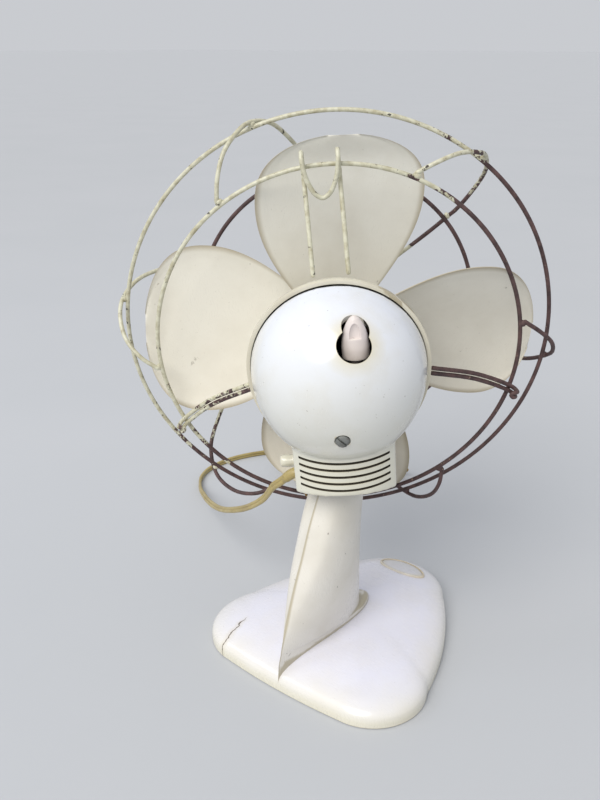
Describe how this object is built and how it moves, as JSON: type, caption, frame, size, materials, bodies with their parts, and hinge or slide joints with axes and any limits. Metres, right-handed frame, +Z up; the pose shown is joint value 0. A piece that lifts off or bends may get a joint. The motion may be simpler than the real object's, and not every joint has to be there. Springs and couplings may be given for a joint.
{
  "type": "desk fan",
  "caption": "Oscillating desk fan with a round motor housing, paddle blades in a sparse wire cage, a leaning neck and a rounded triangular base.",
  "frame": {"origin": "centre of the base, on the surface that the fan stands on", "axes": "+Z up; the base points along -Y, the front of the fan; the head is stored turned 37 degrees to the left of that, seen from above, and tilted back 7.5 degrees"},
  "size_m": [0.3872, 0.3467, 0.3927],
  "materials": {
    "base_white": "smooth, cool white, faded to cream at the edges",
    "plate_steel": "plain sheet steel",
    "foot_rubber": "dull black rubber",
    "screw_steel": "darkened steel",
    "badge_ivory": "blank oval, cream rim",
    "neck_ivory": "smooth ivory with small chips",
    "brass": "dull brass",
    "lead_plastic": "yellowed soft plastic",
    "plug_ivory": "aged cream",
    "cast_alloy": "as cast",
    "cover_white": "glossy cool white, cream towards the bottom",
    "casing_cream": "cream rim",
    "copper": "varnished copper winding",
    "lamination": "stacked sheet steel",
    "blade_ivory": "ivory, satin",
    "fibre": "brown fibre",
    "knob_beige": "pinkish beige, worn",
    "wire_cream": "chipped cream paint on wire",
    "wire_rusted": "worn to rusty brown"
  },
  "bodies": {
    "stand": {"base_badge": "badge_ivory", "base_plate": "plate_steel", "base_screw_1": "screw_steel", "base_screw_2": "screw_steel", "base_screw_3": "screw_steel", "base_shell": "base_white", "cord_coil": "lead_plastic", "cord_lead": "lead_plastic", "foot_1": "foot_rubber", "foot_2": "foot_rubber", "foot_3": "foot_rubber", "neck_column": "neck_ivory", "neck_tie_bolt": "screw_steel", "plug_body": "plug_ivory", "plug_pin_1": "brass", "plug_pin_2": "brass", "tilt_pin": "brass"},
    "knuckle": {"tilt_knuckle": "cast_alloy", "swivel_post": "screw_steel"},
    "link": {"link_bar": "screw_steel"},
    "rotor": {"motor_shaft": "screw_steel", "rotor_core": "lamination", "blade_set": "blade_ivory", "hub_nut": "brass"},
    "spindle": {"gear_spindle": "screw_steel", "worm_wheel": "fibre", "pinion": "brass"},
    "crank": {"crank_gear": "fibre"},
    "knob": {"oscillation_knob": "knob_beige"},
    "head": {"big_ring": "wire_rusted", "cord_gland": "lead_plastic", "cover_screw": "screw_steel", "front_bearing": "brass", "front_bearing_bracket": "cast_alloy", "front_casing": "casing_cream", "front_disc": "blade_ivory", "front_ring": "wire_cream", "gear_frame_lower": "cast_alloy", "gear_frame_upper": "cast_alloy", "loop_wire_1": "wire_cream", "loop_wire_2": "wire_cream", "loop_wire_3": "wire_cream", "loop_wire_4": "wire_rusted", "loop_wire_5": "wire_rusted", "loop_wire_6": "wire_rusted", "rear_bearing": "brass", "rear_bearing_bracket": "cast_alloy", "rear_cover": "cover_white", "rear_ring": "wire_rusted", "side_cap": "cover_white", "stator_coil_1": "copper", "stator_coil_2": "copper", "stator_coil_3": "copper", "stator_coil_4": "copper", "stator_core": "lamination", "support_left": "wire_rusted", "support_right": "wire_rusted", "support_top": "wire_cream", "swivel_bracket": "cast_alloy"}
  },
  "joints": [
    {"name": "tilt", "type": "hinge", "parent": "stand", "child": "knuckle", "pos_m": [0, 0.033, 0.13], "axis": [1, 0, 0], "range_deg": [-15, 15], "deforming": ["cord_lead"]},
    {"name": "oscillation", "type": "hinge", "parent": "knuckle", "child": "head", "pos_m": [0, 0.02793, 0.23627], "axis": [0, 0.1305, 0.9914], "range_deg": [-77, 3], "deforming": ["cord_lead"]},
    {"name": "fan_spin", "type": "hinge", "parent": "head", "child": "rotor", "pos_m": [0, 0.02793, 0.23627], "axis": [0.6018, -0.7918, 0.1042], "continuous": true},
    {"name": "spindle_turn", "type": "hinge", "parent": "head", "child": "spindle", "pos_m": [-0.0398, 0.0615, 0.23185], "axis": [0, 0.1305, 0.9914], "continuous": true},
    {"name": "crank_turn", "type": "hinge", "parent": "head", "child": "crank", "pos_m": [-0.02007, 0.05104, 0.23323], "axis": [0, 0.1305, 0.9914], "continuous": true},
    {"name": "link_swing", "type": "hinge", "parent": "knuckle", "child": "link", "pos_m": [-0.0135, 0.02793, 0.23627], "axis": [0, 0.1305, 0.9914], "range_deg": [-57.75, 2.25]},
    {"name": "knob_lift", "type": "slide", "parent": "head", "child": "knob", "axis": [0, 0.1305, 0.9914], "range_m": [0, 0.005]}
  ],
  "couplings": [
    {"joint": "spindle_turn", "follows": "fan_spin", "ratio": 0.041667},
    {"joint": "crank_turn", "follows": "fan_spin", "ratio": -0.0125},
    {"joint": "link_swing", "follows": "oscillation", "ratio": 0.75}
  ]
}
